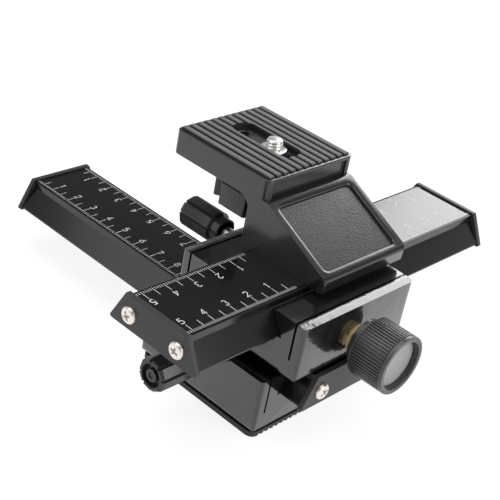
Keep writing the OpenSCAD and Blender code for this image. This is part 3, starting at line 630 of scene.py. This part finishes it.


# collar behind each knob: partly the knob's real rear collar, partly painted shade, being wider
# than the knob's own collar and in darker plastic to stand for the shadow there
knobCollar = [(6.25, -2.5), (8.5, -2.5), (8.9, -2.1), (8.9, 0.1), (6.25, 0.1)]
bush = dict(across=9, length=3.4, groove=0.35, grooveLow=1.55, grooveHigh=1.95, sleeve=3.78,
            sleeveSeat=3.6, depth=16.5, bore=2.56, boreReach=20)


def bushShape():
    b = bush
    length, corner = b["length"], b["across"] / math.sqrt(3)
    hexagon = solid(prism(arc(0, 0, corner, 0, 300, 5), 0, length))
    carve(hexagon, lathe([(nearAxis, -0.5), (corner - 0.9, -0.5), (corner + 0.05, 0.45),
                          (corner + 0.05, length - 0.5), (corner - 0.75, length + 0.3),
                          (nearAxis, length + 0.3)], 48), "INTERSECT")
    inner, outer = b["across"] / 2 - b["groove"], corner + past
    carve(hexagon, ringFaces([(inner, b["grooveLow"]), (outer, b["grooveLow"]),
                              (outer, b["grooveHigh"]), (inner, b["grooveHigh"])], 48))
    carve(hexagon, rod(b["sleeveSeat"], -past, length - 0.4))
    sleeve = solid(rod(b["sleeve"], -b["depth"], length - 0.3, 40))
    for part in (hexagon, sleeve):
        carve(part, rod(b["bore"], -b["boreReach"], b["boreReach"]))
    return solid(put(together(shapeOf(hexagon), shapeOf(sleeve)),
                     shifted(carriage["half"], 0, 0) @ alongX))


for stage, place, body, carrier in (("lower", lowerBlock, "lower_focus", "base"),
                                    ("upper", upperBlock, "upper_focus", "lower_slider")):
    axis = place @ shifted(0, 0, pinionZ)
    knobAxis = axis @ shifted(focusKnob["start"], 0, 0) @ alongX
    piece(stage + "FocusKnob", focusKnobShape(), knobAxis, body, looks["knob"],
          [stage + "_focus_knob"], sharp=28)
    piece(stage + "KnobCap", capShape(), knobAxis, body, looks["cap"], [stage + "_knob_cap"],
          sharp=28)
    # the collar's darker plastic is painted shade behind the knob
    piece(stage + "KnobCollar", ringShape(knobCollar), knobAxis, body, looks["lock"],
          sharp=28)
    piece(stage + "ShaftBush", bushShape(), axis, carrier, looks["brass"],
          [stage + "_shaft_bush"], sharp=25)
print("focusing knobs made")

# Lock knobs.

lockKnob = dict(radius=6.5, flat=6.12, length=19.4, skirt=3.4, lobes=8, lobeHalf=17.3,
                flute=0.95, fluteSide=1.9, recess=2.2, bore=2.6, boreDeep=6, stepsPerLobe=22,
                turn=10)


def lobeWave(angle):
    # each lobe is a flat; between two lobes is a groove with sloping sides
    k = lockKnob
    step = 360 / k["lobes"]
    off = abs((math.degrees(angle) % step) - step / 2)
    if off <= k["lobeHalf"]:
        return k["flat"] / math.cos(math.radians(off)) - k["radius"]
    return k["flat"] / math.cos(math.radians(k["lobeHalf"])) - k["radius"] \
        - k["flute"] * min(1, (off - k["lobeHalf"]) / k["fluteSide"])


def lockKnobShape():
    k = lockKnob
    r, end = k["radius"], k["length"]
    profile = [(k["bore"], end - k["boreDeep"]), (k["bore"], k["skirt"]), (r - 2.2, k["skirt"]),
               (r - 2.2, 0.15, 0.1), (r - 2.0, 0, 0.3), (r - 1.5, 0, 0.6), (r - 1.2, 0.25, 0.75),
               (r - 1.2, k["skirt"] - 0.1, 0.75), (r - 1.15, k["skirt"], 0.8),
               (r - 0.3, k["skirt"] + 0.5, 1), (r, k["skirt"] + 0.95, 1), (r, end - 1.1, 1),
               (r - 0.1, end - 0.8, 1), (r - 0.65, end - 0.15, 0.9), (r - 0.85, end, 0.85),
               (r - 1.95, end), (r - 2.1, end - 0.15), (r - 2.1, end - k["recess"]),
               (r - 4, end - k["recess"]), (r - 4, end - 0.35), (r - 4.15, end - 0.2),
               (1.2, end - 0.2), (1.0, end - 0.6), (nearAxis, end - 0.6)]
    return solid(lathe(profile, k["lobes"] * k["stepsPerLobe"], lobeWave))


for stage, place, body in (("lower", lowerBlock, "lower_lock"),
                           ("upper", upperBlock, "upper_lock")):
    low, high = boxOf(stage + "_lock_knob")
    start = -high[0] if stage == "lower" else low[1] - middleOf("upper_carriage", 1)
    piece(stage + "LockKnob", lockKnobShape(),
          place @ shifted(-start, 0, lockZ) @ towardsMinusX @ turned(lockKnob["turn"]), body,
          looks["lock"], [stage + "_lock_knob"], sharp=26)
print("lock knobs made")

# Camera bracket.

bracket = dict(half=23, wall=3, front=-21, panelLow=5.2, panelHigh=20.6, bandY=10.9, back=57.5,
               rimZ=28.1, under=18.4, columnBack=18.2, fillet=5, foot=3.5, casting=26.6,
               hollowTop=23.4, hollowFront=17.7, recess=1.6, edge=0.6, topEdge=0.45, nose=2.2,
               panelRun=31.5, panelWide=38.8, panelShort=7.2, corner=2.6, topCorner=2.2,
               pillar=3.4, seatWide=44, seatLong=44.6, slot=(6.75, 25.1), slotY=34.2,
               reach=60, inlayGap=0.1, inlayLow=0.02, inlayHigh=0.45, inlayEdge=0.15)
panelRise = bracket["panelHigh"] - bracket["panelLow"]
panelTilt = math.degrees(math.atan2(panelRise, bracket["panelRun"]))
panelLength = math.hypot(panelRise, bracket["panelRun"])
onPanelLocal = shifted(0, bracket["front"], bracket["panelLow"]) @ turned(panelTilt, "X") \
    @ shifted(0, panelLength / 2, 0)


def flared(w, d, r, top, depth, lip, cx=0, cy=0):
    # pocket whose upper edge opens outwards: a gentle slope, then a quarter round
    wide, slope = 2.2 * lip, 0.2 * lip
    steps = [(wide, top + past), (wide, top)]
    for a in (0, 22, 45, 67, 90):
        steps.append((lip * (1 - math.sin(math.radians(a))),
                      top - slope - lip * (1 - math.cos(math.radians(a)))))
    steps.append((0, top - depth))
    return loft([[(x, y, z) for x, y in roundedRect(w + 2 * grow, d + 2 * grow, r + grow, 6,
                                                    cx, cy)] for grow, z in steps])


def bracketShape():
    b = bracket
    f, half, front, bandY = b["fillet"], b["half"], b["front"], b["bandY"]
    ledge = b["panelHigh"] - 0.3
    # lip and slope meet in a round nose
    tilt = math.atan2(ledge - b["panelLow"], bandY - 1 - front)
    noseX = b["nose"] + 0.15
    noseZ = b["panelLow"] + noseX * math.tan(tilt) - (b["nose"] + 0.03) / math.cos(tilt)
    lowerSide = [(front + 0.9, 0)]
    lowerSide += arc(front + noseX, noseZ, b["nose"], 168, 90 + math.degrees(tilt), 8)
    lowerSide += [(bandY - 1, ledge), (b["columnBack"], ledge), (b["columnBack"], 0)]
    upperSide = [(bandY, b["panelHigh"] - 0.9), (bandY, b["rimZ"] - 0.25),
                 (bandY + 1.8, b["rimZ"]), (b["back"], b["rimZ"]), (b["back"], b["under"])]
    upperSide += arc(b["columnBack"] + f, b["under"] - f, f, 90, 180, 6)
    upperSide += [(b["columnBack"] - 0.8, b["under"] - f - 3), (bandY + 4, b["under"] - f - 3),
                  (bandY + 4, b["panelHigh"] - 0.9)]
    work = solid(prism(lowerSide, -half, half, "x"))
    carve(work, prism(roundedRect(2 * half, b["reach"], b["corner"], 6, 0,
                                  front + b["reach"] / 2), -past, clear), "INTERSECT")
    topHalf = half - 0.02
    top = solid(prism(upperSide, -topHalf, topHalf, "x"))
    carve(top, prism(roundedRect(2 * topHalf, b["back"] - bandY, b["topCorner"], 6, 0,
                                 (b["back"] + bandY) / 2), -past, clear), "INTERSECT")
    # dark band under the platform's front edge, between the two pillars
    carve(top, block((b["pillar"] - half, bandY - 2, 10),
                     (half - b["pillar"], bandY + 1.2, b["rimZ"] - 1.7)))
    for part, width in ((work, b["edge"]), (top, b["topEdge"])):
        bevelled(part, width)
        applied(part)
    carve(work, shapeOf(top), "UNION")
    slope = math.tan(math.radians(panelTilt))
    wallY = bandY + b["wall"]
    hollow = [(-b["hollowFront"] + 0.5, b["foot"]),
              (wallY, b["foot"] + (wallY + b["hollowFront"]) * slope), (wallY, b["hollowTop"]),
              (b["back"] - b["wall"], b["hollowTop"]), (b["back"] - b["wall"], -past),
              (b["columnBack"] + 1, -past), (b["columnBack"] + 1, b["foot"])]
    carve(work, prism(hollow, b["wall"] - half, half - b["wall"], "x"))
    # the pad's seat, the screw's slot and the inlay's recess
    carve(work, flared(b["seatWide"], b["seatLong"], 1, b["rimZ"], b["rimZ"] - b["casting"], 0.07,
                       0, (bandY + b["back"]) / 2))
    carve(work, flared(*b["slot"], 3.37, b["casting"], 8, 0.3, 0, b["slotY"]))
    carve(work, put(flared(b["panelWide"], panelLength - b["panelShort"], 1.8, 0, b["recess"],
                           0.75), onPanelLocal))
    return joined(work)


def inlayShape():
    b = bracket
    outline = roundedRect(b["panelWide"] - 2 * b["inlayGap"],
                          panelLength - b["panelShort"] - 2 * b["inlayGap"], 1.7)
    return solid(prism(outline, b["inlayLow"] - b["recess"], b["inlayHigh"] - b["recess"]))


piece("cameraBracket", bracketShape(), bracketFoot, "upper_slider", looks["bracket"],
      ["camera_bracket"], even=True)
piece("panelInlay", inlayShape(), bracketFoot @ onPanelLocal, "upper_slider", looks["panel"],
      ["panel_inlay"], bracket["inlayEdge"])
print("bracket made")

# Platform pad.

pad = dict(half=21.95, y0=11.92, y1=56.48, low=26.62, high=29, groove=1.2, ribbed=44, ribs=12,
           land=0.66, batter=0.12, shoulder=0.22, crown=0.4, endSlope=0.5, slot=(10.6, 29.4, 4),
           cutLow=20, cutHalf=30)


def padShape():
    p = pad
    pitch = p["ribbed"] / p["ribs"]
    rib = p["land"] * pitch
    floor, high = p["high"] - p["groove"], p["high"]
    upper = [(-p["half"], floor)]
    for i in range(p["ribs"]):
        left = -p["ribbed"] / 2 + i * pitch + (pitch - rib) / 2
        right = left + rib
        upper += [(left - p["batter"], floor), (left + p["batter"], high - p["shoulder"]),
                  (left + p["crown"], high), (right - p["crown"], high),
                  (right - p["batter"], high - p["shoulder"]), (right + p["batter"], floor)]
    upper.append((p["half"], floor))
    outline = [(-p["half"], p["low"]), (p["half"], p["low"])] + upper[::-1]
    work = solid(prism(outline, p["y0"], p["y1"], "y"))
    carve(work, prism(roundedRect(*p["slot"], 4, 0, bracket["slotY"]), p["cutLow"], clear))
    side = [(p["y0"], p["low"] - past), (p["y1"], p["low"] - past), (p["y1"], floor),
            (p["y1"] - p["endSlope"], high + 0.1), (p["y0"] + p["endSlope"], high + 0.1),
            (p["y0"], floor)]
    carve(work, prism(side, -p["cutHalf"], p["cutHalf"], "x"), "INTERSECT")
    return work


piece("platformPad", padShape(), bracketFoot, "upper_slider", looks["pad"], ["top_pad"],
      sharp=22)

# Camera screw, its flange and washer, and the lobed knob.

screwPlace = bracketFoot @ shifted(0, 30, 0)
thread = dict(radius=3.125, root=2.72, pitch=1.27, low=8.02, high=30.9, steps=28, slices=8,
              sharpness=1.5, rootWidth=0.25, taper=0.9, taperLength=0.6)


def threadShape():
    t = thread
    heights = []
    z = t["low"]
    while z < t["high"] - 0.001:
        heights.append(z)
        z += t["pitch"] / t["slices"]
    heights.append(t["high"])
    rings = []
    for z in heights:
        ring = []
        for i in range(t["steps"]):
            a = 2 * math.pi * i / t["steps"]
            phase = ((z - t["low"]) / t["pitch"] - i / t["steps"]) % 1
            rise = min(1, max(0, t["sharpness"] * abs(phase * 2 - 1) - t["rootWidth"]))
            r = min(t["root"] + (t["radius"] - t["root"]) * rise,
                    t["radius"] - t["taper"] * max(0, z - (t["high"] - t["taperLength"])))
            ring.append((r * math.cos(a), r * math.sin(a), z))
        rings.append(ring)
    return solid(loft(rings))


piece("cameraScrew", threadShape(), screwPlace, "camera_screw_set", looks["screw"],
      ["camera_screw"], sharp=50)
flange = [(3.15, 26.7), (4.9, 26.7), (5, 26.8), (5, 27.3), (4.75, 27.55), (4.2, 27.6),
          (3.15, 27.6)]
piece("screwFlange", ringShape(flange), screwPlace, "camera_screw_set", looks["screw"],
      ["screw_flange"], sharp=50)
washer = [(3.18, 22.38), (7.8, 22.38), (8, 22.53), (8, 23.23), (7.8, 23.38), (3.18, 23.38)]
piece("slotWasher", ringShape(washer), screwPlace, "screw_slider", looks["steel"],
      ["slot_washer"], sharp=30)

wing = dict(face=17.95, half=6.7, corner=1.0, root=13.6, lobes=6, low=6, height=8.8, hub=7.5,
            hubTop=22.34, hubEdge=0.3, bore=3.16, boreLow=1.98, dimple=4.5, dimpleDeep=1,
            edge=0.45)


def wingShape():
    w = wing
    outline = []
    lobe = [(w["root"], -w["half"])]
    lobe += arc(w["face"] - w["corner"], -w["half"] + w["corner"], w["corner"], -90, 0, 3)
    lobe += arc(w["face"] - w["corner"], w["half"] - w["corner"], w["corner"], 0, 90, 3)
    lobe += [(w["root"], w["half"])]
    for i in range(w["lobes"]):
        middle = math.radians(i * 360 / w["lobes"])
        outline += [(x * math.cos(middle) - y * math.sin(middle),
                     x * math.sin(middle) + y * math.cos(middle)) for x, y in lobe]
    work = solid(prism(outline, w["low"], w["low"] + w["height"]))
    carve(work, lathe([(nearAxis, w["low"] + 3), (w["hub"], w["low"] + 3),
                       (w["hub"], w["hubTop"] - w["hubEdge"]),
                       (w["hub"] - w["hubEdge"], w["hubTop"]), (nearAxis, w["hubTop"])], 48),
          "UNION")
    carve(work, rod(w["bore"], w["low"] + w["boreLow"], w["hubTop"] + past))
    carve(work, rod(w["dimple"], w["low"] - past, w["low"] + w["dimpleDeep"]))
    return joined(work)


piece("lobedKnob", wingShape(), screwPlace, "camera_screw_set", looks["lock"], ["wing_knob"],
      wing["edge"], 3)
print("platform made")

# Base pad and tripod bush.

basePad = dict(half=28.9, thick=2, round=3, border=2, pitch=2.6, groove=1.17, batter=0.1,
               depth=0.6, hole=5.62, cutHigh=5)


def basePadShape():
    b = basePad
    outline = [(b["half"], b["thick"]), (-b["half"], b["thick"]), (-b["half"], 0)]
    count = int((b["half"] - b["border"]) / b["pitch"])
    for i in range(-count, count):
        x, g = (i + 0.5) * b["pitch"], b["groove"] / 2
        outline += [(x - g, 0), (x - g + b["batter"], b["depth"]),
                    (x + g - b["batter"], b["depth"]), (x + g, 0)]
    outline.append((b["half"], 0))
    work = solid(prism(outline, -b["half"], b["half"], "y"))
    carve(work, prism(roundedRect(2 * b["half"], 2 * b["half"], b["round"]), -past,
                      b["cutHigh"]), "INTERSECT")
    carve(work, rod(b["hole"], -past, b["cutHigh"], 40))
    return work


piece("basePad", basePadShape(), Matrix.Identity(4), "base", looks["basePad"], ["base_pad"],
      sharp=25)
tripodBush = [(3.2, 0.4), (3.5, 0.02), (5.4, 0.02), (5.6, 0.2), (5.6, 7.5), (3.2, 7.5)]
piece("tripodBush", ringShape(tripodBush), Matrix.Identity(4), "base", looks["nickel"],
      ["tripod_bush"], sharp=30)

# Small parts kept from the model.

carried = {"steel": ["lower_knob_screw", "lower_pinion_shaft", "lower_lock_screw", "lower_rack",
                     "lower_rack_screws", "upper_carriage_screws", "upper_knob_screw",
                     "upper_pinion_shaft", "upper_lock_screw", "upper_rack",
                     "upper_rack_screws", "bracket_screws"],
           "brass": ["lower_pinion", "upper_pinion"]}
for look, names in carried.items():
    for name in names:
        mesh = nodes[name].data
        mesh.materials.clear()
        mesh.materials.append(looks[look])
print("small parts dressed")

# Studio.

shot = dict(place=(-0.28906, -0.21804, 0.25739), turn=(59.8297, -9.7958, -45.9937),
            lensPixels=1169.34, framePixels=500, sensor=36)
ground = dict(half=9000, drop=0.02, colour=0.86, rough=0.9, pale=0.24, glow=0.86)

camera = bpy.data.cameras.new("camera")
camera.sensor_width = shot["sensor"]
camera.lens = shot["lensPixels"] / shot["framePixels"] * shot["sensor"]
eye = bpy.data.objects.new("camera", camera)
bpy.context.scene.collection.objects.link(eye)
eye.location = shot["place"]
eye.rotation_euler = [math.radians(a) for a in shot["turn"]]
bpy.context.scene.camera = eye


def seenDirectly(tree):
    # 1 for rays from the camera and for those that gloss or a clear body sends on, else 0
    rays = tree.nodes.new("ShaderNodeLightPath")
    level = rays.outputs["Is Camera Ray"]
    for kind in ("Is Glossy Ray", "Is Transmission Ray"):
        larger = tree.nodes.new("ShaderNodeMath")
        larger.operation = "MAXIMUM"
        tree.links.new(level, larger.inputs[0])
        tree.links.new(rays.outputs[kind], larger.inputs[1])
        level = larger.outputs[0]
    return level


floorMaterial = bpy.data.materials.new("floor")
floorMaterial.use_nodes = True
floorTree = floorMaterial.node_tree
floorShader = floorTree.nodes["Principled BSDF"]
floorShader.inputs["Base Color"].default_value = (ground["colour"],) * 3 + (1,)
floorShader.inputs["Roughness"].default_value = ground["rough"]
floorShader.inputs["Specular IOR Level"].default_value = 0.0
# seen by the camera or in a reflection, the floor is mostly white with a faint shadow
paleFloor = floorTree.nodes.new("ShaderNodeBsdfDiffuse")
paleFloor.inputs["Color"].default_value = (ground["pale"],) * 3 + (1,)
glow = floorTree.nodes.new("ShaderNodeEmission")
glow.inputs["Strength"].default_value = ground["glow"]
both = floorTree.nodes.new("ShaderNodeAddShader")
choose = floorTree.nodes.new("ShaderNodeMixShader")
for a, b in ((paleFloor.outputs[0], both.inputs[0]), (glow.outputs[0], both.inputs[1]),
             (seenDirectly(floorTree), choose.inputs[0]),
             (floorShader.outputs[0], choose.inputs[1]), (both.outputs[0], choose.inputs[2]),
             (choose.outputs[0], floorTree.nodes["Material Output"].inputs["Surface"])):
    floorTree.links.new(a, b)
floor = solid(([(x * ground["half"], y * ground["half"], 0)
                for x, y in ((-1, -1), (1, -1), (1, 1), (-1, 1))], [(0, 1, 2, 3)]))
floor.data.transform(Matrix.Scale(toMetres, 4) @ shifted(0, 0, -ground["drop"]))
floor.name = "floor"
floor.data.materials.append(floorMaterial)

# each light's azimuth, elevation, distance, size and watts
lights = {"keyBox": (15, 30, 0.9, 0.48, 3.0), "topBox": (120, 80, 1.2, 1.2, 8),
          "sideBox": (-75, 28, 1.3, 0.9, 9), "fillBox": (148, 38, 1.4, 1.0, 3.6)}
lightsAim = (0.01, 0.0, 0.04)
for name, (azimuth, elevation, distance, size, watts) in lights.items():
    lamp = bpy.data.lights.new(name, "AREA")
    lamp.shape = "DISK"
    lamp.size = size
    lamp.energy = watts
    holder = bpy.data.objects.new(name, lamp)
    bpy.context.scene.collection.objects.link(holder)
    a, e = math.radians(azimuth), math.radians(elevation)
    ray = Vector((math.cos(e) * math.cos(a), math.cos(e) * math.sin(a), math.sin(e)))
    holder.location = Vector(lightsAim) + ray * distance
    holder.rotation_euler = ray.to_track_quat("Z", "Y").to_euler()
    holder.visible_camera = False

# a pale backdrop up to a little over the horizon, seen directly and in the gloss
room = dict(light=0.15, backdrop=0.93, fadeFrom=12, fadeTo=19)
world = bpy.data.worlds.new("studio")
bpy.context.scene.world = world
world.use_nodes = True
roomTree = world.node_tree
direction = roomTree.nodes.new("ShaderNodeTexCoord")
parts = roomTree.nodes.new("ShaderNodeSeparateXYZ")
fade = roomTree.nodes.new("ShaderNodeMapRange")
fade.inputs["From Min"].default_value = math.sin(math.radians(room["fadeTo"]))
fade.inputs["From Max"].default_value = math.sin(math.radians(room["fadeFrom"]))
fade.inputs["To Max"].default_value = room["backdrop"] - room["light"]
level = roomTree.nodes.new("ShaderNodeMath")
level.operation = "MULTIPLY_ADD"
level.inputs[2].default_value = room["light"]
for a, b in ((direction.outputs["Generated"], parts.inputs[0]),
             (parts.outputs["Z"], fade.inputs["Value"]),
             (seenDirectly(roomTree), level.inputs[0]), (fade.outputs["Result"], level.inputs[1]),
             (level.outputs[0], roomTree.nodes["Background"].inputs["Strength"])):
    roomTree.links.new(a, b)
roomTree.nodes["Background"].inputs["Color"].default_value = (1, 1, 1, 1)
bpy.context.scene.view_settings.view_transform = "Standard"
print("studio made")
